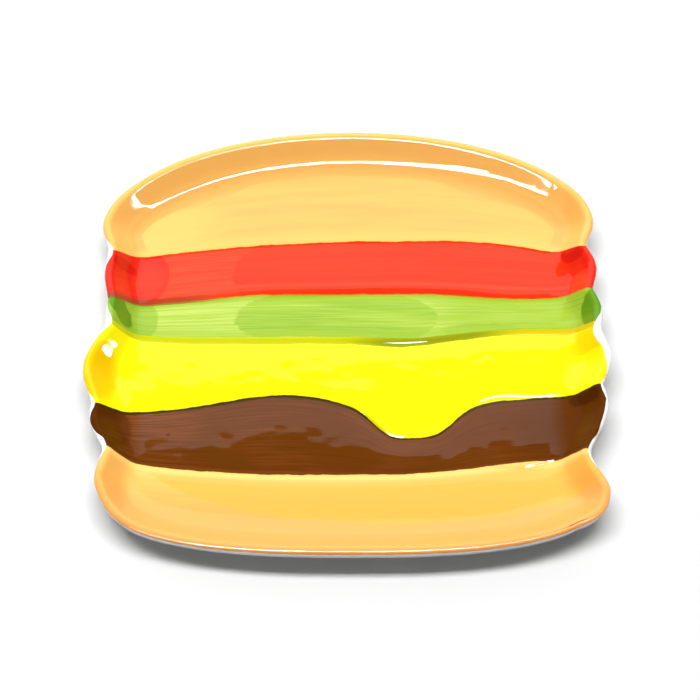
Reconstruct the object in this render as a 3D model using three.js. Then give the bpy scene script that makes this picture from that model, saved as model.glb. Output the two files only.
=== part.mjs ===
// A glazed ceramic serving platter cast in the outline of a cheeseburger, lying face up.
// Millimetres, +X to the right of the burger, +Y towards its top bun, +Z up.
import * as THREE from 'three';

// Heights above the surface that the platter stands on.
const lipHeight = 22;
const floorHeight = 8.5;
const baseHeight = 2.8;
const footTopHeight = 3.2;
const sideFootHeight = 14;

// The section through the rim.
const lipRadius = 2.6;
const innerLipRadius = 3;
const coveWidth = 23;
const sideFootOutward = 2;
const footWidth = 5;
const footRound = 0.7;
const footRoundStart = 0.3;

// The raised lower edge of each layer, which stands over the layer below it.
const stepHeight = 1.3;
const stepWidth = 5;
const riseLength = 20;
const reliefFade = 16;

// The top bun's dome is half an ellipse, and the bottom bun's belly half a squarer oval.
// A shoulder is where the dome or belly hands over to a layer's end, as a share of its half width.
const dome = {
  centreX: 1.9, centreY: 66.5, halfWidth: 133.5, rise: 60.4, roundness: 2,
  shoulders: [0.87, 0.87],
};
const belly = {
  centreX: 2.2, centreY: -84, halfWidth: 133, rise: -39.5, roundness: 2.6,
  shoulders: [0.858, 0.89],
};

// Seams between layers, each with the notch at both ends, how far the seam falls away from the
// notches, the bow of its middle, and its own swells and drip.
const seams = [
  {
    left: [-131, 51.5], right: [130.6, 54.5], fall: [0, 0], bow: 11,
    swells: [{ at: 75, high: 2.6, wide: 28 }],
  },
  {
    left: [-130, 23.5], right: [132.8, 28.5], fall: [0, 0], bow: 5,
    swells: [{ at: -50, high: 1.4, wide: 22 }, { at: 86, high: -2.2, wide: 20 }],
  },
  {
    left: [-130.4, 7.5], right: [136.4, 5], fall: [5.5, -1.5], bow: -3.2,
    swells: [{ at: 32, high: -2.2, wide: 18 }, { at: 95, high: 2.4, wide: 24 }],
  },
  {
    left: [-136, -39], right: [135.6, -28], fall: [0, 0], bow: 0,
    swells: [{ at: -38, high: 7, wide: 27 }],
    drip: { at: 35, deep: 21, wide: 23.5 },
  },
  {
    left: [-129, -63.5], right: [127.6, -65], fall: [4, 0], bow: -8.5,
    swells: [{ at: 88, high: 1.6, wide: 20 }],
  },
];
const fallLength = 11;

// Layers from the top bun down. Each end bulges past the line between its notches, and is
// fullest at its peak, a share of the way down.
const layers = [
  { name: 'top bun', bulge: [10.9, 9.8], peak: [0.5, 0.5], rows: 9 },
  { name: 'tomato', bulge: [1.8, 3.8], peak: [0.5, 0.45], rows: 5 },
  { name: 'lettuce', bulge: [0.4, 2.6], peak: [0.5, 0.45], rows: 5 },
  { name: 'cheese', bulge: [8, 4.8], peak: [0.5, 0.5], rows: 7 },
  { name: 'patty', bulge: [2.8, 5], peak: [0.4, 0.4], rows: 6 },
  { name: 'bottom bun', bulge: [10.8, 13], peak: [0.5, 0.6], rows: 8 },
];
const bunEndRoundness = { 'top bun': 2.3, 'bottom bun': 2.9 };
const notchSoftness = 1.4;

// The foot is a rounded oval well inside the rim.
const foot = { halfWidth: 104, halfDepth: 91, roundness: 2.7 };

// How finely the surface is divided.
const middleColumns = 44;
const edgeDistances = [0, 1.4, 2.8, 5.5, 9, 13, 18, 24];
const edgeRows = 4;
const lipSteps = 3;
const undersideSteps = 5;
const endSteps = 60;
const archSteps = 180;

const mix = (a, b, t) => a + (b - a) * t;
const smooth = (t) => t * t * (3 - 2 * t);
const clamp = (t) => Math.min(1, Math.max(0, t));

// A point of the dome's or belly's crest line at x.
function ovalPoint(oval, x) {
  const across = Math.abs(x - oval.centreX) / (oval.halfWidth - lipRadius);
  const rise = oval.rise - Math.sign(oval.rise) * lipRadius;
  const up = (1 - across ** oval.roundness) ** (1 / oval.roundness);
  return new THREE.Vector2(x, oval.centreY + rise * up);
}

// A point along the dome or belly, from its left shoulder at 0 to its right shoulder at 1.
function archPoint(oval, along) {
  const reach = oval.halfWidth - lipRadius;
  return ovalPoint(oval, oval.centreX + reach * mix(-oval.shoulders[0], oval.shoulders[1], along));
}

// A point along a seam, from its left notch at 0 to its right notch at 1.
function seamPoint({ left, right, fall, bow, swells, drip }, along) {
  const x = mix(left[0] + lipRadius, right[0] - lipRadius, along);
  const length = right[0] - left[0] - 2 * lipRadius;
  const inside = 1 - (2 * along - 1) ** 8;
  let y = mix(left[1], right[1], along) + bow * 4 * along * (1 - along);
  y -= fall[0] * (1 - along) * (1 - Math.exp(-along * length / fallLength));
  y -= fall[1] * along * (1 - Math.exp((along - 1) * length / fallLength));
  for (const swell of swells) {
    y += inside * swell.high * Math.exp(-0.5 * ((x - swell.at) / swell.wide) ** 2);
  }
  if (drip) {
    y -= inside * drip.deep / (1 + ((x - drip.at) / drip.wide) ** 4);
  }
  return new THREE.Vector2(x, y);
}

// A point on boundary 0 (the dome), 1 to 5 (the seams) or 6 (the belly), from left to right.
function boundaryPoint(number, along) {
  if (number === 0) {
    return archPoint(dome, along);
  }
  return number === layers.length ? archPoint(belly, along) : seamPoint(seams[number - 1], along);
}

// The rounded end of a layer: 0 at its notches and 1 where it bulges most.
function bulgeShape({ name, peak }, side, down) {
  const turned = down ** (Math.log(0.5) / Math.log(peak[side]));
  const towardsShoulder = name === 'top bun' ? turned < 0.5 : name === 'bottom bun' && turned > 0.5;
  if (towardsShoulder) {
    return 1 - Math.abs(2 * turned - 1) ** bunEndRoundness[name];
  }
  return Math.sin(Math.PI * turned) ** notchSoftness;
}

// A point of the crest line at a layer's end, side 0 on the left and 1 on the right.
function endPoint(layerNumber, side, down) {
  const layer = layers[layerNumber];
  const upper = boundaryPoint(layerNumber, side);
  const lower = boundaryPoint(layerNumber + 1, side);
  const point = upper.clone().lerp(lower, down);
  point.x += (side === 0 ? -1 : 1) * layer.bulge[side] * bulgeShape(layer, side, down);
  return point;
}

// A point of a layer, filled in evenly between its two boundaries and its two ends.
function layerPoint(layerNumber, along, down) {
  const upper = boundaryPoint(layerNumber, along).lerp(boundaryPoint(layerNumber + 1, along), down);
  const ends = endPoint(layerNumber, 0, down).lerp(endPoint(layerNumber, 1, down), along);
  const topChord = boundaryPoint(layerNumber, 0).lerp(boundaryPoint(layerNumber, 1), along);
  const lowChord = boundaryPoint(layerNumber + 1, 0).lerp(boundaryPoint(layerNumber + 1, 1), along);
  return upper.add(ends).sub(topChord.lerp(lowChord, down));
}

// The crest line of the rim as a fine closed line, used to measure how far in a point lies.
function crestLine() {
  const points = [];
  for (let i = 0; i < archSteps; i += 1) {
    points.push(boundaryPoint(0, i / archSteps));
  }
  for (let layer = 0; layer < layers.length; layer += 1) {
    for (let i = 0; i < endSteps; i += 1) {
      points.push(endPoint(layer, 1, i / endSteps));
    }
  }
  for (let i = 0; i < archSteps; i += 1) {
    points.push(boundaryPoint(layers.length, 1 - i / archSteps));
  }
  for (let layer = layers.length - 1; layer >= 0; layer -= 1) {
    for (let i = 0; i < endSteps; i += 1) {
      points.push(endPoint(layer, 0, 1 - i / endSteps));
    }
  }
  return points;
}
const crest = crestLine();

function distanceInside(point) {
  let nearest = Infinity;
  for (const crestPoint of crest) {
    nearest = Math.min(nearest, point.distanceToSquared(crestPoint));
  }
  return Math.sqrt(nearest);
}

// The inner wall: a small round at the lip and a wide cove that runs out into the floor.
const wallHeight = lipHeight - floorHeight;
const wallSlope = 2 * Math.atan(wallHeight / coveWidth);
const coveRadius = wallHeight / (1 - Math.cos(wallSlope)) - innerLipRadius;

function wallRise(inside) {
  if (inside >= coveWidth) {
    return 0;
  }
  if (inside < innerLipRadius * Math.sin(wallSlope)) {
    return wallHeight - innerLipRadius + Math.sqrt(innerLipRadius ** 2 - inside ** 2);
  }
  return coveRadius - Math.sqrt(coveRadius ** 2 - (coveWidth - inside) ** 2);
}

// The low relief: each layer falls from the edge above it and rises to its own lower edge.
function reliefRise(layerNumber, along, down) {
  const depth = boundaryPoint(layerNumber, along).distanceTo(boundaryPoint(layerNumber + 1, along));
  const fallen = clamp(down * depth / stepWidth);
  const risen = clamp(1 - (1 - down) * depth / riseLength);
  const fromAbove = layerNumber === 0 ? 0 : 0.5 + 0.5 * Math.cos(Math.PI * fallen);
  const toBelow = layerNumber === layers.length - 1 ? 0 : smooth(risen);
  return stepHeight * Math.max(fromAbove, toBelow);
}

function surfacePoint(layerNumber, along, down) {
  const point = layerPoint(layerNumber, along, down);
  const inside = distanceInside(point);
  const relief = reliefRise(layerNumber, along, down) * smooth(clamp(inside / reliefFade));
  return new THREE.Vector3(point.x, point.y, floorHeight + wallRise(inside) + relief);
}

// Shares of the width at which the columns stand, closer together at both ends.
function columnShares() {
  const width = 2 * (dome.halfWidth - lipRadius);
  const left = edgeDistances.map((distance) => distance / width);
  const lastEdge = left[left.length - 1];
  const middle = [];
  for (let i = 1; i < middleColumns; i += 1) {
    middle.push(mix(lastEdge, 1 - lastEdge, i / middleColumns));
  }
  return [...left, ...middle, ...left.map((share) => 1 - share).reverse()];
}

// Shares of a layer's depth at which its rows stand, with one row at the foot of the step.
function rowShares(layerNumber) {
  const { rows } = layers[layerNumber];
  const depth = boundaryPoint(layerNumber, 0.5).distanceTo(boundaryPoint(layerNumber + 1, 0.5));
  const shares = [];
  for (let i = 0; i < rows; i += 1) {
    shares.push(i / rows);
  }
  const nearEdge = edgeDistances.slice(0, edgeRows).map((distance) => distance / depth);
  if (layerNumber === 0) {
    return [...nearEdge, ...shares.slice(1)];
  }
  if (layerNumber === layers.length - 1) {
    return [...shares, ...nearEdge.map((share) => 1 - share).reverse()];
  }
  return shares;
}

function topGrid() {
  const grid = [];
  const columns = columnShares();
  for (let layer = 0; layer < layers.length; layer += 1) {
    for (const down of rowShares(layer)) {
      grid.push(columns.map((along) => surfacePoint(layer, along, down)));
    }
  }
  return grid;
}

// Unit vectors that point straight out of the closed edge, averaged with their neighbours.
function outwardNormals(edge) {
  const count = edge.length;
  const normals = edge.map((point, i) => {
    const before = edge[(i + count - 1) % count];
    const after = edge[(i + 1) % count];
    return new THREE.Vector2(after.y - before.y, before.x - after.x).normalize();
  });
  return normals.map((normal, i) => normal.clone().multiplyScalar(2)
    .add(normals[(i + count - 1) % count]).add(normals[(i + 1) % count]).normalize());
}

function footPoint(edgePoint, inset) {
  const angle = Math.atan2(edgePoint.y / foot.halfDepth, edgePoint.x / foot.halfWidth);
  const power = 2 / foot.roundness;
  const cosine = Math.cos(angle);
  const sine = Math.sin(angle);
  const x = Math.sign(cosine) * Math.abs(cosine) ** power * (foot.halfWidth - inset);
  const y = Math.sign(sine) * Math.abs(sine) ** power * (foot.halfDepth - inset);
  return new THREE.Vector2(x, y);
}

// The closed rings below the crest line, from the lip's round down to the inside of the foot.
function lowerRings(edge) {
  const normals = outwardNormals(edge);
  const rings = [];
  const offsetRing = (outward, height) => {
    rings.push(edge.map((point, i) => new THREE.Vector3(
      point.x + normals[i].x * outward,
      point.y + normals[i].y * outward,
      height,
    )));
  };
  for (let i = 1; i <= lipSteps; i += 1) {
    const turn = (Math.PI / 2) * (i / lipSteps);
    offsetRing(lipRadius * Math.sin(turn), lipHeight - lipRadius * (1 - Math.cos(turn)));
  }
  offsetRing(sideFootOutward, sideFootHeight);
  const side = rings[rings.length - 1];
  for (let i = 1; i <= undersideSteps; i += 1) {
    const turn = (Math.PI / 2) * (i / undersideSteps);
    const inward = 1 - Math.cos(turn);
    const height = footTopHeight + (sideFootHeight - footTopHeight) * (1 - Math.sin(turn));
    rings.push(side.map((point, j) => {
      const target = footPoint(edge[j], 0);
      return new THREE.Vector3(mix(point.x, target.x, inward), mix(point.y, target.y, inward), height);
    }));
  }
  const footSection = [
    [footRoundStart, footRound],
    [footRound, 0],
    [footWidth - footRound, 0],
    [footWidth - footRoundStart, footRound],
    [footWidth, baseHeight],
  ];
  for (const [inset, height] of footSection) {
    rings.push(edge.map((point) => {
      const target = footPoint(point, inset);
      return new THREE.Vector3(target.x, target.y, height);
    }));
  }
  return rings;
}

// The grid's outermost points in order, down the left end and round anticlockwise.
function edgeLoop(rowCount, columnCount) {
  const loop = [];
  for (let row = 0; row < rowCount - 1; row += 1) {
    loop.push(row * columnCount);
  }
  for (let column = 0; column < columnCount - 1; column += 1) {
    loop.push((rowCount - 1) * columnCount + column);
  }
  for (let row = rowCount - 1; row > 0; row -= 1) {
    loop.push(row * columnCount + columnCount - 1);
  }
  for (let column = columnCount - 1; column > 0; column -= 1) {
    loop.push(column);
  }
  return loop;
}

// The whole closed surface: the top, the rings under it and the base inside the foot.
function platterGeometry() {
  const grid = topGrid();
  const rowCount = grid.length;
  const columnCount = grid[0].length;
  const points = grid.flat();
  const faces = [];
  const at = (row, column) => row * columnCount + column;
  for (let row = 0; row < rowCount - 1; row += 1) {
    for (let column = 0; column < columnCount - 1; column += 1) {
      const a = at(row, column);
      const b = at(row + 1, column);
      const c = at(row + 1, column + 1);
      const d = at(row, column + 1);
      const cutsThroughCorner = (row < rowCount / 2) === (column < columnCount / 2);
      if (cutsThroughCorner) {
        faces.push(a, b, c, a, c, d);
      } else {
        faces.push(a, b, d, b, c, d);
      }
    }
  }
  const loop = edgeLoop(rowCount, columnCount);
  let upper = loop;
  for (const ring of lowerRings(loop.map((index) => new THREE.Vector2(points[index].x, points[index].y)))) {
    const lower = ring.map((point) => points.push(point) - 1);
    for (let i = 0; i < loop.length; i += 1) {
      const next = (i + 1) % loop.length;
      faces.push(upper[i], lower[i], lower[next], upper[i], lower[next], upper[next]);
    }
    upper = lower;
  }
  const centre = points.push(new THREE.Vector3(0, 0, baseHeight)) - 1;
  for (let i = 0; i < loop.length; i += 1) {
    faces.push(upper[i], centre, upper[(i + 1) % loop.length]);
  }
  const geometry = new THREE.BufferGeometry().setFromPoints(points);
  geometry.setIndex(faces);
  geometry.computeBoundingBox();
  const middle = geometry.boundingBox.getCenter(new THREE.Vector3());
  geometry.translate(-middle.x, -middle.y, -geometry.boundingBox.min.z);
  geometry.computeVertexNormals();
  return geometry;
}

const glaze = new THREE.MeshStandardMaterial({ color: 0xf2c06a, roughness: 0.15, metalness: 0 });
const platter = new THREE.Mesh(platterGeometry(), glaze);
platter.name = 'platter';

const object = new THREE.Group();
object.add(platter);
export default object;
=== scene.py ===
import bmesh
import bpy
import math
import numpy as np
from mathutils import Matrix, Vector, kdtree


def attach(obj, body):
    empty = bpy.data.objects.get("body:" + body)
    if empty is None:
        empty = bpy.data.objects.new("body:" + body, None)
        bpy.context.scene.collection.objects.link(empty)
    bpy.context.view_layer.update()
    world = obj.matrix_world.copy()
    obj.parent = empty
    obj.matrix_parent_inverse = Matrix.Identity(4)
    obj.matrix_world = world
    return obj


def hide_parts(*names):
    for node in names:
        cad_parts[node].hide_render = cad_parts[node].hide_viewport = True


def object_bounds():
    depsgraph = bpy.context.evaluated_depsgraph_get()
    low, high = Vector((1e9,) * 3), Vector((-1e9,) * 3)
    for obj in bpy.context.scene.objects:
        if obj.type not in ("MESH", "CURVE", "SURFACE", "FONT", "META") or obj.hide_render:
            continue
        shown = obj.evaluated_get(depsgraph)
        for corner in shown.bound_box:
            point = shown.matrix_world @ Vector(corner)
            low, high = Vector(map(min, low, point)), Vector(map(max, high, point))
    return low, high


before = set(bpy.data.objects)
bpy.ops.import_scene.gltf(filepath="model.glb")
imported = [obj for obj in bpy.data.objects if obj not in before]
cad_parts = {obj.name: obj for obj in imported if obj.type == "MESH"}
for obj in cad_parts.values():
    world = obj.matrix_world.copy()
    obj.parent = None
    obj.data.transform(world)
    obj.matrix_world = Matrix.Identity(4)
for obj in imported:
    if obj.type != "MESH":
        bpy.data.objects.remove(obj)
cad_low, cad_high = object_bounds()

# The view. The platter lies flat and is seen from high in front of its bottom bun, from just over
# a metre away with a long lens, so that it keeps its true proportions.
view_target = Vector((0.00135, -0.0054, 0.012))
view_distance = 1.2
view_elevation = math.radians(65)
towards_camera = Vector((0, -math.cos(view_elevation), math.sin(view_elevation)))

camera = bpy.data.objects.new("camera", bpy.data.cameras.new("camera"))
camera.data.lens = 114.56
camera.data.sensor_width = 36
camera.location = view_target + towards_camera * view_distance
camera.rotation_euler = (-towards_camera).to_track_quat("-Z", "Y").to_euler()
bpy.context.collection.objects.link(camera)
bpy.context.scene.camera = camera

# The outline. The potter's mould gives the platter a burger's silhouette: a dome, six layers whose
# ends bulge between notches, and a belly. Drawn in millimetres, as the mould is.
lip_radius = 2.6
fall_length = 11
notch_softness = 1.4
end_fade = 8
drip_squareness = 4
dome = {"centre": (1.9, 66.5), "half_width": 133.5, "rise": 60.4, "roundness": 2.0,
        "shoulders": (0.87, 0.87)}
belly = {"centre": (2.2, -84), "half_width": 133, "rise": -39.5, "roundness": 2.6,
         "shoulders": (0.858, 0.89)}
seams = [
    {"left": (-131, 51.5), "right": (130.6, 54.5), "fall": (0, 0), "bow": 11,
     "swells": [(75, 2.6, 28)]},
    {"left": (-130, 23.5), "right": (132.8, 28.5), "fall": (0, 0), "bow": 5,
     "swells": [(-50, 1.4, 22), (86, -2.2, 20)]},
    {"left": (-130.4, 7.5), "right": (136.4, 5), "fall": (5.5, -1.5), "bow": -3.2,
     "swells": [(32, -2.2, 18), (95, 2.4, 24)]},
    {"left": (-136, -39), "right": (135.6, -28), "fall": (0, 0), "bow": 0,
     "swells": [(-38, 7, 27)], "drip": (35, 21, 23.5)},
    {"left": (-129, -63.5), "right": (127.6, -65), "fall": (4, 0), "bow": -8.5,
     "swells": [(88, 1.6, 20)]},
]
layers = [
    {"name": "top bun", "bulge": (10.9, 9.8), "peak": (0.5, 0.5), "end_roundness": 2.3, "rows": 56},
    {"name": "tomato", "bulge": (1.8, 3.8), "peak": (0.5, 0.45), "rows": 32},
    {"name": "lettuce", "bulge": (0.4, 2.6), "peak": (0.5, 0.45), "rows": 28},
    {"name": "cheese", "bulge": (8, 4.8), "peak": (0.5, 0.5), "rows": 42},
    {"name": "patty", "bulge": (2.8, 5), "peak": (0.4, 0.4), "rows": 34},
    {"name": "bottom bun", "bulge": (10.8, 13), "peak": (0.5, 0.6), "end_roundness": 2.9, "rows": 44},
]
last_boundary = len(layers)


def arch_line(oval, along):
    reach = oval["half_width"] - lip_radius
    left, right = oval["shoulders"]
    across = -left + (left + right) * along
    up = (1 - np.abs(across) ** oval["roundness"]) ** (1 / oval["roundness"])
    rise = oval["rise"] - math.copysign(lip_radius, oval["rise"])
    return np.stack([oval["centre"][0] + reach * across, oval["centre"][1] + rise * up], -1)


def seam_line(seam, along):
    (left_x, left_y), (right_x, right_y) = seam["left"], seam["right"]
    length = right_x - left_x - 2 * lip_radius
    x = left_x + lip_radius + length * along
    inside = 1 - (2 * along - 1) ** end_fade
    y = left_y + (right_y - left_y) * along + seam["bow"] * 4 * along * (1 - along)
    y -= seam["fall"][0] * (1 - along) * (1 - np.exp(-along * length / fall_length))
    y -= seam["fall"][1] * along * (1 - np.exp((along - 1) * length / fall_length))
    for at, high, wide in seam["swells"]:
        y += inside * high * np.exp(-0.5 * ((x - at) / wide) ** 2)
    if "drip" in seam:
        at, deep, wide = seam["drip"]
        y -= inside * deep / (1 + ((x - at) / wide) ** drip_squareness)
    return np.stack([x, y], -1)


def boundary_line(number, along):
    if number == 0:
        return arch_line(dome, along)
    return arch_line(belly, along) if number == last_boundary else seam_line(seams[number - 1], along)


def bulge_shape(layer, side, down):
    turned = down ** (math.log(0.5) / math.log(layer["peak"][side]))
    towards_shoulder = turned < 0.5 if layer["name"] == "top bun" else turned > 0.5
    if "end_roundness" in layer and towards_shoulder:
        return 1 - abs(2 * turned - 1) ** layer["end_roundness"]
    return math.sin(math.pi * turned) ** notch_softness


def layer_line(number, along, down):
    layer = layers[number]
    upper = boundary_line(number, along)
    lower = boundary_line(number + 1, along)
    row = upper + (lower - upper) * down
    for side, share in ((0, 1 - along), (1, along)):
        outward = (-1, 1)[side] * layer["bulge"][side] * bulge_shape(layer, side, down)
        row[:, 0] += share * outward
    return row


# The body. Slip-cast earthenware, 282 mm wide: a nearly flat well, a wide cove that climbs to a
# rounded lip, and low relief where each painted layer rolls down to the next. Its cove is an arc that
# runs on straight into the lip's inner round. It is built in millimetres, as a grid of rows between
# the seams, whose own edge is the crest of the lip.
lip_height = 22
floor_height = 8.5
wall_height = lip_height - floor_height
cove_width = 19
cove_radius = 13
inner_lip_radius = 3
both_radii = cove_radius + inner_lip_radius
wall_slope = math.atan2(cove_width, both_radii - wall_height)
wall_slope -= math.acos(both_radii / math.hypot(cove_width, both_radii - wall_height))
relief_fade = 16
column_count = 270
end_crowding = 0.35
seam_crowding = 0.45


def crowded(count, crowding):
    even = np.linspace(0, 1, count)
    return even - crowding * np.sin(2 * np.pi * even) / (2 * np.pi)


def smooth(share):
    share = np.clip(share, 0, 1)
    return share * share * (3 - 2 * share)


along = crowded(column_count, end_crowding)
rows = []
levels = []
depths = []
from_upper = []
for number, layer in enumerate(layers):
    last = number == len(layers) - 1
    shares = crowded(layer["rows"] + 1, seam_crowding)
    depth = np.linalg.norm(boundary_line(number + 1, along) - boundary_line(number, along), axis=1)
    for share in shares if last else shares[:-1]:
        rows.append(layer_line(number, along, share))
        levels.append(number + share)
        depths.append(depth)
        from_upper.append(share * depth)
plan = np.array(rows)
levels = np.array(levels)
depths = np.array(depths)
from_upper = np.array(from_upper)
to_lower = depths - from_upper
row_count = len(rows)

# The crest is the closed line of the grid's own edge, walked down the left and round by the right.
crest_index = [(row, 0) for row in range(row_count - 1)]
crest_index += [(row_count - 1, column) for column in range(column_count - 1)]
crest_index += [(row, column_count - 1) for row in range(row_count - 1, 0, -1)]
crest_index += [(0, column) for column in range(column_count - 1, 0, -1)]
crest = np.array([plan[row, column] for row, column in crest_index])
crest_count = len(crest)
crest_tree = kdtree.KDTree(crest_count)
for number, (x, y) in enumerate(crest):
    crest_tree.insert((x, y, 0), number)
crest_tree.balance()


def distance_to_crest(point):
    _, nearest, _ = crest_tree.find((point[0], point[1], 0))
    best = math.inf
    for step in (-1, 0):
        start = crest[(nearest + step) % crest_count]
        edge = crest[(nearest + step + 1) % crest_count] - start
        share = np.clip((point - start) @ edge / max(edge @ edge, 1e-12), 0, 1)
        best = min(best, float(np.hypot(*(point - start - share * edge))))
    return best


inside = np.array([[distance_to_crest(point) for point in row] for row in plan])
lip_edge = inner_lip_radius * math.sin(wall_slope)
slope_foot = cove_width - cove_radius * math.sin(wall_slope)
lip_rise = wall_height - inner_lip_radius + np.sqrt(np.maximum(inner_lip_radius ** 2 - inside ** 2, 0))
cove_reach = np.clip(cove_width - inside, 0, cove_radius * math.sin(wall_slope))
cove_rise = cove_radius - np.sqrt(cove_radius ** 2 - cove_reach ** 2)
cove_rise += np.clip(slope_foot - inside, 0, None) * math.tan(wall_slope)
height = floor_height + np.where(inside < lip_edge, lip_rise, cove_rise)

# Where two walls meet in a notch the slip rounds the valley between them.
valley_passes = 14
valley_share = 0.5
valley_start = 2.5
valley_reach = 6
softness = smooth((inside - valley_start) / valley_reach)
for _ in range(valley_passes):
    middle = height[1:-1, 1:-1]
    beside = height[1:-1, :-2] + height[1:-1, 2:] + height[:-2, 1:-1] + height[2:, 1:-1]
    height[1:-1, 1:-1] = middle + softness[1:-1, 1:-1] * valley_share * (beside / 4 - middle)

# The well is pressed by hand into its mould, so each layer leans a little. The tilts are degrees
# towards the viewer, given by share of the layer's depth for the left, the middle and the right.
# The patty has one hollow more, left of its middle, in its lower part.
tilt_stations = (-95, 0, 95)
tilts = {
    "top bun": [(0, (0, -0.2, -0.4)), (1, (0, -0.2, -0.4))],
    "tomato": [(0, (0, -0.3, -0.5)), (1, (0, -0.3, -0.5))],
    "lettuce": [(0, (0, -0.3, -0.5)), (1, (0, -0.3, -0.5))],
    "cheese": [(0, (0.8, 0.95, 1.7)), (0.5, (0.55, 0.75, 1.4)), (1, (0.4, 0.6, 1.2))],
    "patty": [(0, (-1.2, -1.2, -1.2)), (0.45, (-1.0, -0.75, -0.9)), (0.7, (-0.5, 0.0, -0.4)),
              (0.85, (0.3, 0.5, 0.3)), (1, (1, 1, 1))],
    "bottom bun": [(0, (-0.6, -0.6, -0.6)), (0.2, (0, 0, 0)), (1, (0, 0, 0))],
}
patty_hollow = {"at": -44, "half_width": 24, "tilt": 0.5, "starts": 0.3, "full_after": 0.2}
tilt = np.zeros(plan.shape[:2])
for row, level in enumerate(levels):
    number = min(int(level), len(layers) - 1)
    table = tilts[layers[number]["name"]]
    shares = [share for share, _ in table]
    at_stations = []
    for station in range(len(tilt_stations)):
        station_tilts = [row_tilts[station] for _, row_tilts in table]
        at_stations.append(np.interp(level - number, shares, station_tilts))
    tilt[row] = np.interp(plan[row, :, 0], tilt_stations, at_stations)
    if layers[number]["name"] == "patty":
        sunk = smooth((level - number - patty_hollow["starts"]) / patty_hollow["full_after"])
        away = (plan[row, :, 0] - patty_hollow["at"]) / patty_hollow["half_width"]
        tilt[row] += patty_hollow["tilt"] * sunk * np.exp(-0.5 * away ** 4)
fall = np.tan(np.radians(tilt[:-1])) * (plan[:-1, :, 1] - plan[1:, :, 1])
lean = np.vstack([np.zeros(column_count), -np.cumsum(fall, axis=0)])
lean -= lean.mean()

# Each seam is a roll over the upper layer's edge, a short steep step, and a foot that comes back up.
# A step's "at" is how far past the seam its middle lies. Swells, each with its place across, height
# and half width, make the roll or the step deeper, or move the step up the layer above.
far_off = 99
shift_reach = 30
steps = [
    {"at": 0, "roll": (6, 0.1), "steep": 4, "drop": 0.3, "foot": 10},
    {"at": 0, "roll": (5, 0.1), "steep": 4, "drop": 0.4, "foot": 9, "rolled": [(20, 0.1, 40)]},
    {"at": -3, "roll": (4, 0.1), "steep": 3.2, "drop": 0.6, "foot": 9, "deeper": [(31, 0.9, 22)]},
    {"at": -0.5, "roll": (8, 0.25), "steep": 2.8, "drop": 0.55, "foot": 10,
     "deeper": [(96, 0.65, 22), (16, 1.5, 10)], "earlier": [(80, 2.2, 9)]},
    {"at": -1, "roll": (5, 0.1), "steep": 3, "drop": 0.4, "foot": 7,
     "deeper": [(103, 0.9, 12)], "earlier": [(92, -3.2, 10)]},
]


def swelled(base, swells, x):
    return base + sum(high * np.exp(-0.5 * ((x - at) / wide) ** 2) for at, high, wide in swells)


relief = lean
level_rows = levels[:, None]
for number, step in enumerate(steps):
    seam = number + 1
    x = plan[:, :, 0]
    above = (level_rows < seam) & (level_rows >= seam - 1)
    below = (level_rows >= seam) & (level_rows < seam + 1)
    elsewhere = np.where(level_rows < seam, -far_off, far_off)
    past = np.where(above, -to_lower, np.where(below, from_upper, elsewhere))
    past = past + swelled(0, step.get("earlier", []), x) * (np.abs(past) < shift_reach)
    start, depth = step["roll"]
    steep_start = step["at"] - step["steep"] / 2
    rolled = np.clip((past + start) / (start + steep_start), 0, 1) ** 2
    rolled *= swelled(depth, step.get("rolled", []), x)
    turn = np.pi * np.clip((past - steep_start) / step["steep"], 0, 1)
    dropped = (0.5 - 0.5 * np.cos(turn)) * swelled(step["drop"], step.get("deeper", []), x)
    foot_start = step["at"] + step["steep"] / 2
    back = 1 - smooth((past - foot_start) / step["foot"])
    relief = relief - (rolled + dropped) * back
height += relief * smooth(inside / relief_fade)

# The strokes follow the layers: their distance down the platter runs on from layer to layer.
seam_strokes = [0]
for number in range(len(layers)):
    seam_strokes.append(seam_strokes[-1] + float(depths[int(np.argmax(levels >= number))].mean()))
strokes = np.interp(levels, range(len(layers) + 1), seam_strokes)

# The painter stops short of the edge in the notches and beside the cheese and the patty.
# Each gap has its place, the width of the bare edge there, and how far it reaches.
gaps = [
    (-130.3, 50.5, 4.4, 5), (-127.5, 10, 4.6, 6), (-137, -39.5, 4.4, 5), (-130, -62, 4.4, 6),
    (134.5, 54.5, 3.5, 4), (136, 2, 7, 8), (138.5, -8, 5, 8), (137, -31, 3.6, 6),
    (138, -45, 3.1, 12), (131, -66, 4.4, 7),
]
bare = np.zeros(plan.shape[:2])
for x, y, wide, reach in gaps:
    away = np.hypot(plan[:, :, 0] - x, plan[:, :, 1] - y) / reach
    bare = np.maximum(bare, wide * np.exp(-0.5 * away ** 2))

mesh = bmesh.new()
bmesh.ops.create_grid(mesh, x_segments=column_count - 1, y_segments=row_count - 1, size=1)
rim_of = mesh.verts.layers.float.new("rim")
stroke_of = mesh.verts.layers.float.new("stroke")
bare_of = mesh.verts.layers.float.new("bare")
order_of = mesh.verts.layers.int.new("order")
order_at = {place: order for order, place in enumerate(crest_index)}
for vert in mesh.verts:
    column = round((vert.co.x + 1) / 2 * (column_count - 1))
    row = round((1 - vert.co.y) / 2 * (row_count - 1))
    vert.co = (*plan[row, column], height[row, column])
    vert[stroke_of] = strokes[row]
    vert[bare_of] = bare[row, column]
    vert[rim_of] = inside[row, column]
    vert[order_of] = order_at.get((row, column), -1)

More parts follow.
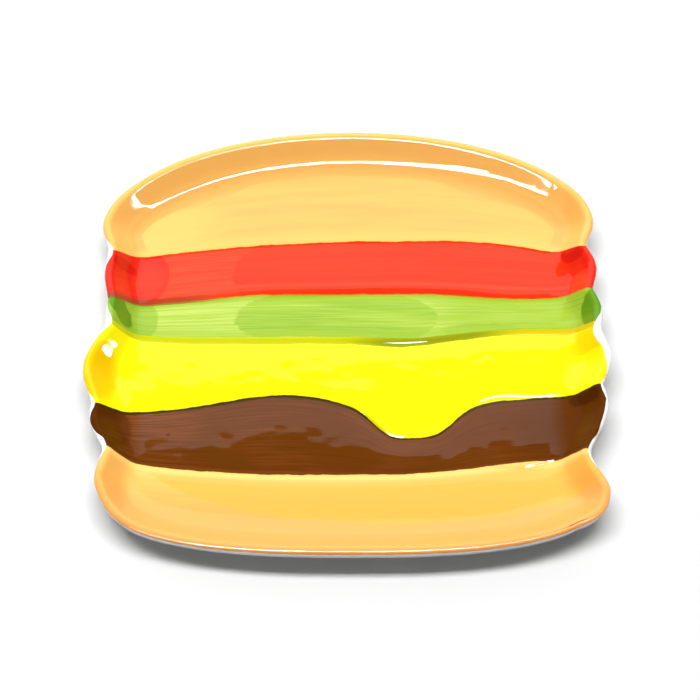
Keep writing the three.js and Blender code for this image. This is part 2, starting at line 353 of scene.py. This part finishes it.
# Below the crest come the lip's outer round, a short side, the underside and the foot ring, each made
# of rings of the crest's points pushed out or drawn in. Each ring keeps how far it lies from the crest
# over the surface, roughly so past the side, where there is no paint.
side_foot_height = 14
side_foot_outward = 2
foot_top_height = 3.2
base_height = 2.8
foot = {"half_width": 104, "half_depth": 91, "roundness": 2.7}
foot_section = [(0.0, 2.2), (0.12, 1.2), (0.35, 0.55), (0.7, 0.12), (1.3, 0.0), (3.7, 0.0),
                (4.3, 0.12), (4.65, 0.55), (4.88, 1.2), (5.0, 2.0), (5.6, 2.6), (6.6, 2.8)]
lip_steps = 5
side_steps = 2
underside_steps = 8
base_shares = (0.6, 0.25)
underside_run = 30
foot_run = 40
base_run = 60
outward_passes = 6

before = np.roll(crest, 1, axis=0)
after = np.roll(crest, -1, axis=0)
outward = np.stack([after[:, 1] - before[:, 1], before[:, 0] - after[:, 0]], -1)
outward /= np.linalg.norm(outward, axis=1)[:, None]
for _ in range(outward_passes):
    outward = 2 * outward + np.roll(outward, 1, axis=0) + np.roll(outward, -1, axis=0)
    outward /= np.linalg.norm(outward, axis=1)[:, None]


def ring_at(flat, ring_height):
    return np.column_stack([flat, np.full(crest_count, ring_height)])


def foot_line(inset):
    angle = np.arctan2(crest[:, 1] / foot["half_depth"], crest[:, 0] / foot["half_width"])
    power = 2 / foot["roundness"]
    x = np.sign(np.cos(angle)) * np.abs(np.cos(angle)) ** power * (foot["half_width"] - inset)
    y = np.sign(np.sin(angle)) * np.abs(np.sin(angle)) ** power * (foot["half_depth"] - inset)
    return np.stack([x, y], -1)


rings = []
for step in range(1, lip_steps + 1):
    turn = math.pi / 2 * step / lip_steps
    ring_height = lip_height - lip_radius * (1 - math.cos(turn))
    rings.append((ring_at(crest + outward * lip_radius * math.sin(turn), ring_height), lip_radius * turn))
lip_foot = lip_height - lip_radius
for step in range(1, side_steps + 1):
    share = step / side_steps
    reach = lip_radius + (side_foot_outward - lip_radius) * share
    drop = (lip_foot - side_foot_height) * share
    rings.append((ring_at(crest + outward * reach, lip_foot - drop), lip_radius * math.pi / 2 + drop))
side_foot = rings[-1][0][:, :2]
side_length = rings[-1][1]
for step in range(1, underside_steps + 1):
    turn = math.pi / 2 * step / underside_steps
    flat = side_foot + (foot_line(0) - side_foot) * (1 - math.cos(turn))
    ring_height = foot_top_height + (side_foot_height - foot_top_height) * (1 - math.sin(turn))
    rings.append((ring_at(flat, ring_height), side_length + underside_run * step / underside_steps))
for inset, ring_height in foot_section:
    rings.append((ring_at(foot_line(inset), ring_height), side_length + foot_run + inset))
inner_foot = foot_line(foot_section[-1][0])
for share in base_shares:
    rings.append((ring_at(inner_foot * share, base_height), side_length + base_run))

edge = [e for e in mesh.edges if e.is_boundary]
for ring, distance in rings:
    made = bmesh.ops.extrude_edge_only(mesh, edges=edge)["geom"]
    fresh = {v for v in made if isinstance(v, bmesh.types.BMVert)}
    for vert in fresh:
        vert.co = ring[vert[order_of]]
        vert[rim_of] = -distance
    edge = [e for e in made if isinstance(e, bmesh.types.BMEdge) and e.is_boundary]
bmesh.ops.contextual_create(mesh, geom=edge)
bmesh.ops.recalc_face_normals(mesh, faces=mesh.faces)

# The fine body is brought to metres and set inside the solid's own box.
millimetre = 0.001
low = Vector(np.min([v.co for v in mesh.verts], axis=0))
high = Vector(np.max([v.co for v in mesh.verts], axis=0))
fit = Vector([min(millimetre, (cad_high[i] - cad_low[i]) / (high[i] - low[i])) for i in range(3)])
foot_middle = Vector(((low.x + high.x) / 2, (low.y + high.y) / 2, low.z))
bmesh.ops.translate(mesh, verts=mesh.verts, vec=-foot_middle)
bmesh.ops.scale(mesh, verts=mesh.verts, vec=fit)

platter = bpy.data.objects.new("burger_platter", bpy.data.meshes.new("burger_platter"))
mesh.to_mesh(platter.data)
mesh.free()
platter.data.shade_smooth()
bpy.context.collection.objects.link(platter)
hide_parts("platter")
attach(platter, "root")

# The glaze. The fired body is white and is painted by brush under one clear gloss glaze, which lies
# thicker and thinner by a few hundredths of a millimetre. The flat of the foot is left bare.
glaze = bpy.data.materials.new("painted_glaze")
glaze.use_nodes = True
nodes = glaze.node_tree.nodes
shader = nodes["Principled BSDF"]
shader.inputs["IOR"].default_value = 1.5
white_glaze = (0.80, 0.80, 0.77)
bare_clay = (0.66, 0.60, 0.50)


def joined(socket, value):
    if isinstance(value, bpy.types.NodeSocket):
        socket.id_data.links.new(value, socket)
    else:
        socket.default_value = value


def worked(operation, first, second=0.0, third=0.0):
    node = nodes.new("ShaderNodeMath")
    node.operation = operation
    for socket, value in zip(node.inputs, (first, second, third)):
        joined(socket, value)
    return node.outputs[0]


def moved(operation, first, second, third=(0, 0, 0)):
    node = nodes.new("ShaderNodeVectorMath")
    node.operation = operation
    for socket, value in zip(node.inputs, (first, second, third)):
        joined(socket, value)
    return node.outputs[0]


def eased(value, start, end):
    node = nodes.new("ShaderNodeMapRange")
    node.interpolation_type = "SMOOTHSTEP"
    joined(node.inputs["Value"], value)
    joined(node.inputs["From Min"], start)
    joined(node.inputs["From Max"], end)
    return node.outputs["Result"]


def attribute(name):
    node = nodes.new("ShaderNodeAttribute")
    node.attribute_name = name
    return node.outputs["Fac"]


def point(x, y, z=0.0):
    node = nodes.new("ShaderNodeCombineXYZ")
    for socket, value in zip(node.inputs, (x, y, z)):
        joined(socket, value)
    return node.outputs[0]


def noise(where, size, seed, detail=2.0):
    node = nodes.new("ShaderNodeTexNoise")
    scale = tuple(1 / reach for reach in size)
    joined(node.inputs["Vector"], moved("MULTIPLY_ADD", where, scale, (seed, seed * 1.7, seed * 0.6)))
    node.inputs["Scale"].default_value = 1
    node.inputs["Detail"].default_value = detail
    return node.outputs


place_node = nodes.new("ShaderNodeTexCoord")
millimetres = moved("MULTIPLY", place_node.outputs["Object"], (1 / millimetre,) * 3)
axes = nodes.new("ShaderNodeSeparateXYZ")
joined(axes.inputs[0], millimetres)
across, up, over_table = axes.outputs
stroke = attribute("stroke")
rim = attribute("rim")
on_strokes = point(across, stroke)
flat_place = point(across, up)


def bristles(length, width, seed, low=0.38, high=0.62):
    return eased(noise(on_strokes, (length, width, 1), seed)["Fac"], low, high)


def cloud(size, seed, low=0.35, high=0.65):
    return eased(noise(flat_place, (*size, 1), seed)["Fac"], low, high)


def shaken(where, size, seed, amount):
    return moved("MULTIPLY_ADD", noise(where, size, seed)["Color"], (amount[0] * 2, amount[1] * 2, 0),
                 moved("SUBTRACT", where, (*amount, 0)))


loose_place = shaken(flat_place, (6, 6, 1), 3.1, (1.5, 1.5))
brushed_place = shaken(loose_place, (30, 0.8, 1), 8.4, (3.2, 0.3))


def dab(where, at, reach, turn, soft):
    node = nodes.new("ShaderNodeMapping")
    node.vector_type = "TEXTURE"
    joined(node.inputs["Vector"], where)
    node.inputs["Location"].default_value = (*at, 0)
    node.inputs["Rotation"].default_value = (0, 0, math.radians(turn))
    node.inputs["Scale"].default_value = (*reach, 1)
    length = nodes.new("ShaderNodeVectorMath")
    length.operation = "LENGTH"
    joined(length.inputs[0], node.outputs[0])
    return eased(length.outputs["Value"], 1 + soft, 1 - soft)


def colours_of(sockets):
    return [socket for socket in sockets if socket.type == "RGBA"]


def laid(under, over, amount):
    node = nodes.new("ShaderNodeMix")
    node.data_type = "RGBA"
    joined(node.inputs["Factor"], amount)
    for socket, value in zip(colours_of(node.inputs), (under, over)):
        joined(socket, (*value, 1) if isinstance(value, tuple) else value)
    return colours_of(node.outputs)[0]


def part_of(amount, share):
    return worked("MULTIPLY", amount, share)


# Each dab has its colour, the share that it covers, its place, its reach both ways, its turn in
# degrees and the softness of its edge.
def dabbed(paint, where, dabs):
    for colour, share, at, reach, turn, soft in dabs:
        paint = laid(paint, colour, part_of(dab(where, at, reach, turn, soft), share))
    return paint


def both(first, second):
    return worked("MULTIPLY", first, second)


def without(first, second):
    return worked("MULTIPLY", first, worked("SUBTRACT", 1.0, second))


def between(value, start, end, soft):
    rise = eased(value, start - soft, start + soft)
    return without(rise, eased(value, end - soft, end + soft))


# Bun paint. A warm tan underglaze colour brushed wet from side to side, yellower where it ran thin
# near the ends and along the tomato, and more orange in the cove, partly a second coat and partly painted
# shade.
bun = (0.85, 0.40, 0.100)
bun_yellow = (0.85, 0.505, 0.125)
bun_orange = (0.85, 0.34, 0.07)
bun_pink = (0.85, 0.36, 0.092)
bun_cream = (0.85, 0.60, 0.165)
bun_gold = (0.85, 0.40, 0.06)
tomato_seam, lettuce_seam, cheese_seam, patty_seam, bottom_seam = seam_strokes[1:6]

buns = laid(bun, bun_pink, part_of(cloud((46, 14), 5.2), 0.35))
buns = laid(buns, bun_yellow, part_of(bristles(70, 3.5, 2.3), 0.22))
buns = dabbed(buns, loose_place, [
    (bun_yellow, 0.6, (-104, 66), (30, 17), 25, 0.6),
    (bun_yellow, 0.2, (104, 66), (26, 12), -20, 0.6),
])
buns = laid(buns, bun_yellow, part_of(between(stroke, tomato_seam - 5, tomato_seam + 4, 3), 0.6))

# The darker coat in the cove is partly the bun's own second coat and partly painted shade, and its edge
# is a painted reflection edge: it ends on a shaky line in the well, further from the rim at both shoulders.
cove_coat_and_shade = 17.8
shoulder_coat_and_shade = 3.4
shoulders = between(worked("ABSOLUTE", across), 56, 94, 12)
coat_and_shade_edge = worked("MULTIPLY_ADD", shoulders, shoulder_coat_and_shade, cove_coat_and_shade)
edge_shake = worked("MULTIPLY_ADD", noise(flat_place, (24, 24, 1), 41.0)["Fac"], 3.0, -1.5)
past_coat_and_shade = worked("ADD", rim, worked("SUBTRACT", edge_shake, coat_and_shade_edge))
above_tomato = eased(stroke, tomato_seam - 2, tomato_seam - 7)
# Painted shade: the cove is laid darker and more orange down to that edge.
buns = laid(buns, bun_pink, part_of(both(eased(past_coat_and_shade, 0.35, -0.35), above_tomato), 0.8))
buns = laid(buns, bun_yellow, part_of(both(eased(rim, 13, 10), above_tomato), 0.62))
buns = dabbed(buns, loose_place, [
    (bun_orange, 0.4, (124.6, 76), (5, 13), 8, 0.5),
    (bun_orange, 0.35, (-122, -74), (11, 14), 30, 0.12),
])

# The bottom bun is lightest along the patty, and its second coat stops short of the near rim.
buns = laid(buns, bun_cream, part_of(between(stroke, bottom_seam - 2, bottom_seam + 3.5, 2), 0.8))
buns = laid(buns, bun_yellow, part_of(between(stroke, bottom_seam + 3, bottom_seam + 13, 3), 0.55))
buns = laid(buns, bun_pink, part_of(eased(stroke, bottom_seam + 14, bottom_seam + 30), 0.95))
below_patty = eased(stroke, bottom_seam + 2, bottom_seam + 6)
second_bun_coat = both(dab(brushed_place, (20, -60), (132, 44), 0, 0.012), below_patty)
buns = laid(buns, bun_gold, part_of(second_bun_coat, 0.75))
buns = laid(buns, bun_orange, part_of(bristles(90, 0.7, 6.6), 0.10))
buns = laid(buns, bun_orange, part_of(eased(rim, 3, -3), 0.1))

# Tomato paint. A first thin coat whose bristle lines show, a second fuller coat from the left third
# on, a round dab at each end, small dark ovals near both ends that are painted dark reflection, and a
# last stroke along the lower edge.
tomato_red = (0.76, 0.028, 0.004)
tomato_light = (0.80, 0.058, 0.016)
tomato_deep = (0.66, 0.011, 0.006)
tomato_dark_and_reflection = (0.56, 0.008, 0.004)

tomato_lines = bristles(55, 0.9, 1.4)
thin_red = laid(tomato_red, tomato_light, worked("ADD", part_of(tomato_lines, 0.6), 0.2))
full_red = laid(tomato_red, tomato_light, part_of(bristles(80, 2.4, 9.2), 0.2))
second_coat = dab(brushed_place, (60, 41), (123, 42), 0, 0.008)
tomato = laid(thin_red, full_red, second_coat)
low_band = between(stroke, lettuce_seam - 5.2, lettuce_seam + 9, 0.35)
low_stroke = both(low_band, dab(brushed_place, (28, 30), (54, 15), -2, 0.01))
tomato = laid(tomato, tomato_deep, part_of(low_stroke, 0.2))
light_line = between(stroke, lettuce_seam - 7.2, lettuce_seam - 5.4, 0.5)
tomato = laid(tomato, tomato_light, part_of(light_line, 0.6))
left_dab = dab(loose_place, (-118, 41), (20, 20), 0, 0.04)
dab_ring = without(left_dab, dab(loose_place, (-118, 41), (17, 17), 0, 0.1))
tomato = laid(tomato, tomato_dark_and_reflection, part_of(dab_ring, 0.3))
tomato = laid(tomato, tomato_deep, part_of(left_dab, 0.75))
# The small dark ovals near both ends are painted dark reflection.
tomato = dabbed(tomato, loose_place, [
    (tomato_light, 0.3, (-108, 38), (9, 10), 0, 0.6),
    (tomato_dark_and_reflection, 0.75, (-121.5, 44), (6.6, 3.2), -18, 0.16),
    (tomato_deep, 0.4, (131, 42), (14, 21), 0, 0.3),
    (tomato_dark_and_reflection, 0.8, (123, 50.5), (6.4, 4.4), 0, 0.14),
    (tomato_dark_and_reflection, 0.4, (130.5, 41), (2.4, 9), 8, 0.6),
])

# Lettuce paint. The thinnest colour, so every bristle line shows, with a fuller coat over the middle,
# a low stroke at the right, and a dark wedge at each end that is painted dark reflection.
lettuce_light = (0.45, 0.565, 0.105)
lettuce_green = (0.275, 0.425, 0.020)
lettuce_deep = (0.19, 0.355, 0.012)
lettuce_end_reflection = (0.075, 0.222, 0.003)

lettuce_lines = bristles(70, 0.75, 4.7)
lettuce_bands = bristles(90, 4.5, 7.7)
thin_green = laid(lettuce_light, lettuce_green, worked("ADD", part_of(lettuce_lines, 0.6), 0.1))
thin_green = laid(thin_green, lettuce_green, part_of(eased(across, 36, 66), 0.85))
full_green = laid(lettuce_green, lettuce_light, part_of(lettuce_lines, 0.4))
full_green = laid(full_green, lettuce_deep, part_of(lettuce_bands, 0.6))
middle_coat = dab(brushed_place, (-6, 15), (55, 19), 0, 0.012)
lettuce = laid(thin_green, full_green, middle_coat)
lettuce = laid(lettuce, lettuce_light, part_of(bristles(34, 0.55, 14.9, 0.42, 0.62), 0.22))
lettuce = laid(lettuce, lettuce_deep, part_of(bristles(48, 1.0, 19.3, 0.52, 0.66), 0.4))
lettuce = laid(lettuce, lettuce_deep, part_of(dab(brushed_place, (73, 8), (21, 4), 0, 0.1), 0.4))
for seam_band in (between(stroke, cheese_seam - 8, cheese_seam + 2, 1.2),
                  between(stroke, lettuce_seam - 2, lettuce_seam + 3, 0.9)):
    lettuce = laid(lettuce, lettuce_green, part_of(seam_band, 0.5))
# The dark wedges at both ends are painted dark reflection.
lettuce = dabbed(lettuce, loose_place, [
    (lettuce_deep, 0.6, (-117, 14), (14, 15), 0, 0.05),
    (lettuce_end_reflection, 0.85, (-123.5, 18), (4.2, 11.5), 28, 0.12),
    (lettuce_end_reflection, 0.85, (133.5, 17), (6.5, 13), -14, 0.1),
])

# Cheese paint. One bright yellow underglaze colour in a single opaque coat, warmer where a second
# brushful was laid at both ends.
cheese_yellow = (0.85, 0.80, 0.004)
cheese_warm = (0.85, 0.66, 0.002)
cheese_orange = (0.85, 0.43, 0.001)

cheese = laid(cheese_yellow, cheese_warm, part_of(cloud((30, 8), 12.5), 0.12))
cheese = dabbed(cheese, loose_place, [
    (cheese_orange, 0.75, (-139, -20), (16, 20), 12, 0.25),
    (cheese_warm, 0.2, (-108, -12), (18, 10), 0, 0.25),
])
cheese = laid(cheese, cheese_warm, part_of(eased(across, 96, 132), 0.55))
cheese = dabbed(cheese, loose_place, [
    (cheese_orange, 0.42, (129, -1.5), (15, 6.5), 10, 0.06),
    (cheese_orange, 0.3, (112.9, -10.8), (2.4, 1.2), 10, 0.2),
])

# Patty paint. A dark brown wash, redder and streaky where it is thin, with darker streaks; the nearly
# black dabs at both ends are painted dark reflection.
patty_brown = (0.105, 0.028, 0.0015)
patty_red = (0.17, 0.045, 0.008)
patty_dark_and_reflection = (0.055, 0.013, 0.001)

patty = laid(patty_brown, patty_red, part_of(both(bristles(40, 0.8, 11.3), cloud((40, 30), 2.8)), 0.45))
patty = laid(patty, patty_dark_and_reflection, part_of(bristles(70, 1.3, 15.1, 0.5, 0.75), 0.35))
thin_end = both(dab(brushed_place, (-100, -49), (24, 12), 0, 0.4), bristles(30, 0.8, 3.9))
patty = laid(patty, patty_red, part_of(thin_end, 0.75))
# Painted dark reflection: nearly black dabs at both ends of the patty.
patty = dabbed(patty, loose_place, [
    (patty_dark_and_reflection, 0.55, (-129, -49), (13, 17), 30, 0.12),
    (patty_dark_and_reflection, 0.7, (-95.2, -52.8), (1.2, 1.0), 0, 0.3),
])
patty = dabbed(patty, brushed_place, [(patty_dark_and_reflection, 0.8, (127, -33), (8.5, 5.0), 10, 0.12)])
patty = dabbed(patty, loose_place, [(patty_dark_and_reflection, 0.35, (122, -50), (30, 30), 0, 0.5)])
patty = laid(patty, patty_red, part_of(between(stroke, bottom_seam - 1.4, bottom_seam + 1, 0.4), 0.5))

# The fields are laid over each other, each a little over the next, so the colours darken where two
# wet edges overlap. Each edge wavers as the brush does, in short and in long waves. The dark strip
# under the cheese's edge and the thin dark line under the tomato's edge are painted shade.
overlap_green = (0.50, 0.515, 0.004)
overlap_olive = (0.26, 0.28, 0.003)
overlap_gold = (0.62, 0.44, 0.004)
overlap_brown = (0.19, 0.050, 0.018)
cheese_edge_shade = (0.052, 0.022, 0.001)
tomato_edge_shade = (0.42, 0.030, 0.008)
edge_soft = 0.22
short_wave = 5
long_wave = 22
same_down = 2000


def past_seam(at, seed, reach=0.45):
    fine = noise(on_strokes, (short_wave, same_down, 1), seed)["Fac"]
    fine = worked("MULTIPLY_ADD", fine, reach * 2, -reach)
    broad = noise(on_strokes, (long_wave, same_down, 1), seed + 4)["Fac"]
    broad = worked("MULTIPLY_ADD", broad, reach * 3, -reach * 1.5)
    return eased(worked("ADD", worked("ADD", stroke, fine), broad), at - edge_soft, at + edge_soft)


paint = laid(buns, lettuce, past_seam(lettuce_seam - 3, 1.9))
green_edge = past_seam(cheese_seam - 4.4, 6.1)
green_end = past_seam(cheese_seam - 0.7, 7.3)
overlap = laid(overlap_green, overlap_olive, between(across, 10, 84, 18))
overlap = laid(overlap, overlap_gold, eased(across, 70, 105))
paint = laid(paint, overlap, part_of(green_edge, 0.9))
paint = laid(paint, cheese, green_end)
# Painted shade: a dark strip under the cheese's edge, where the glaze rolls down to the patty.
paint = laid(paint, cheese_edge_shade, past_seam(patty_seam, 2.7))
paint = laid(paint, patty, past_seam(patty_seam + 1.7, 9.9, 0.8))
paint = laid(paint, buns, past_seam(bottom_seam, 5.5))
red_field = without(past_seam(tomato_seam, 3.3), past_seam(lettuce_seam - 0.4, 8.8))
paint = laid(paint, tomato, red_field)
brown_edge = both(between(stroke, lettuce_seam - 3.4, lettuce_seam + 0.8, 0.3), eased(across, -60, -92))
paint = laid(paint, overlap_brown, part_of(brown_edge, 0.7))
# Painted shade: a thin darker red line along the tomato's lower edge, where it rolls down to the lettuce.
tomato_edge_shade_line = between(stroke, lettuce_seam - 0.9, lettuce_seam + 0.1, 0.3)
paint = laid(paint, tomato_edge_shade, part_of(tomato_edge_shade_line, 0.35))

# The paint ends on the lip's outer round, and further in at the gaps. The flat of the foot is wiped
# bare before firing. Both ends of the patty reflect little, so the cheese doesn't mirror in them.
paint_reach = 3.7
paint_edge_soft = 0.25
wiped_top = 0.6
wiped_foot = 0.3
gloss_roughness = 0.04
clay_roughness = 0.64
full_shine = 0.5
patty_end_shine = 0.04
edge_wobble = worked("MULTIPLY_ADD", noise(flat_place, (9, 9, 1), 17.3)["Fac"], 1.6, -0.8)
painted = worked("SUBTRACT", worked("ADD", rim, edge_wobble), attribute("bare"))
painted = eased(painted, -paint_reach - paint_edge_soft, -paint_reach + paint_edge_soft)
surface = laid(white_glaze, paint, painted)
foot_flat = eased(over_table, wiped_top, wiped_foot)
surface = laid(surface, bare_clay, foot_flat)
joined(shader.inputs["Base Color"], surface)
roughness = worked("MULTIPLY_ADD", foot_flat, clay_roughness - gloss_roughness, gloss_roughness)
joined(shader.inputs["Roughness"], roughness)
in_patty = between(stroke, patty_seam - 2, bottom_seam + 2, 2)
patty_ends = both(in_patty, eased(worked("ABSOLUTE", across), 106, 118))
shine = worked("MULTIPLY_ADD", patty_ends, patty_end_shine - full_shine, full_shine)
joined(shader.inputs["Specular IOR Level"], shine)

# The glaze pools thicker and thinner, and each bristle leaves a faint ridge under it. Heights are in
# millimetres.
pooling = 0.16
bristle_ridge = 0.003
relief_bump = nodes.new("ShaderNodeBump")
relief_bump.inputs["Distance"].default_value = millimetre
relief_bump.inputs["Strength"].default_value = 1
glaze_depth = worked("MULTIPLY", noise(flat_place, (17, 11, 1), 31.0, 1.0)["Fac"], pooling)
brush_depth = worked("MULTIPLY", noise(on_strokes, (25, 2.4, 1), 12.0)["Fac"], bristle_ridge)
joined(relief_bump.inputs["Height"], worked("ADD", glaze_depth, brush_depth))
joined(shader.inputs["Normal"], relief_bump.outputs[0])
platter.data.materials.append(glaze)

# The table. It stands for the white surface that the platter lies on: a plain matt sheet, which isn't
# part of the object, wide enough to fill every view.
table_reach = 6
table_shade = 0.63
table_mesh = bmesh.new()
bmesh.ops.create_grid(table_mesh, x_segments=1, y_segments=1, size=table_reach)
table = bpy.data.objects.new("table", bpy.data.meshes.new("table"))
table_mesh.to_mesh(table.data)
table_mesh.free()
table_white = bpy.data.materials.new("table_white")
table_white.use_nodes = True
table_shader = table_white.node_tree.nodes["Principled BSDF"]
table_shader.inputs["Base Color"].default_value = (table_shade, table_shade, table_shade, 1)
table_shader.inputs["Roughness"].default_value = 1
table_shader.inputs["Specular IOR Level"].default_value = 0
table.data.materials.append(table_white)
bpy.context.collection.objects.link(table)

# The light. A large soft box over the far side lights everything, a pale wall behind the platter
# shows as a veil in the flat glaze, a small window makes the spark on the cheese, and bent tubes over
# the near side draw the white lines. The room itself is dim in the glaze and white to the camera.
dim_room = 0.13
dim_room_in_glaze = 0.03
bpy.context.scene.view_settings.view_transform = "Standard"
world = bpy.data.worlds.new("studio")
world.use_nodes = True
world_nodes = world.node_tree.nodes
rays = world_nodes.new("ShaderNodeLightPath")
room_light = (dim_room, dim_room, dim_room, 1)
for path, shade in (("Is Glossy Ray", dim_room_in_glaze), ("Is Camera Ray", 1)):
    room = world_nodes.new("ShaderNodeMix")
    room.data_type = "RGBA"
    under, over = colours_of(room.inputs)
    joined(room.inputs["Factor"], rays.outputs[path])
    joined(under, room_light)
    joined(over, (shade, shade, shade, 1))
    room_light = colours_of(room.outputs)[0]
joined(world_nodes["Background"].inputs["Color"], room_light)
bpy.context.scene.world = world


def lamp(name, start, end, width, radiance, lights=True, shines=True, level_width=False, shape="RECTANGLE"):
    middle = (start + end) / 2
    run = (end - start).normalized()
    back = (middle - run * middle.dot(run)).normalized()
    if level_width:
        back = Vector((1, 0, 0)).cross(run)
    area_share = math.pi / 4 if shape == "ELLIPSE" else 1
    data = bpy.data.lights.new(name, "AREA")
    data.shape = shape
    data.size = (end - start).length
    data.size_y = width
    data.energy = radiance * math.pi * data.size * width * area_share
    made = bpy.data.objects.new(name, data)
    made.matrix_world = Matrix((run, back.cross(run), back)).transposed().to_4x4()
    made.location = middle
    made.visible_camera = False
    made.visible_diffuse = lights
    made.visible_glossy = shines
    bpy.context.collection.objects.link(made)


# A place in the room is given by its degrees forward of straight up, its degrees sideways to the
# right, and its distance in metres.
def towards(forward, sideways, distance):
    forward, sideways = math.radians(forward), math.radians(sideways)
    return distance * Vector((math.sin(sideways), -math.cos(sideways) * math.sin(forward),
                              math.cos(sideways) * math.cos(forward)))


wall_shift = Vector((-1.25, 0, 0))
wall_low = towards(-22.4, 0, 2.6) + wall_shift
wall_high = towards(-86, 0, 3.6) + wall_shift
lamp("pale_wall", wall_low, wall_high, 6.4, 0.88, level_width=True)

box_shift = Vector((-0.15, 0, 0))
box_near = towards(-5, 0, 2.7) + box_shift
box_far = towards(-15, 0, 2.7) + box_shift
lamp("soft_box", box_near, box_far, 2.6, 29.5, shines=False)

# The window and the tubes show in the glaze alone. A tube is given by its bends, with the width of
# each stretch between them in metres.
spark_radiance = 45
spark_distance = 2
lamp("window", towards(62, 71, spark_distance), towards(62, 77, spark_distance), 0.21, spark_radiance,
     lights=False, shape="ELLIPSE")
tubes = {
    "near": {
        "bends": [(57, 62), (59.5, 56), (56, 48), (45, 41), (36, 36), (31, 28), (33, 19), (38, 9),
                  (40.5, 0), (43.5, -6), (49.5, -12.5), (55, -18), (59.5, -25), (61, -32),
                  (61.5, -39), (61.5, -46)],
        "widths": [0.05, 0.06, 0.07, 0.08, 0.09, 0.11, 0.2, 0.32, 0.32, 0.22, 0.18, 0.17, 0.14,
                   0.13, 0.08],
    },
    "far": {
        "bends": [(45, -4), (53, -11), (60.5, -16), (64, -21)],
        "widths": [0.12, 0.12, 0.06],
    },
}
for name, tube in tubes.items():
    bends = [towards(*bend, spark_distance) for bend in tube["bends"]]
    for number, width in enumerate(tube["widths"]):
        lamp(f"{name}_tube_{number}", bends[number], bends[number + 1], width, spark_radiance, lights=False)
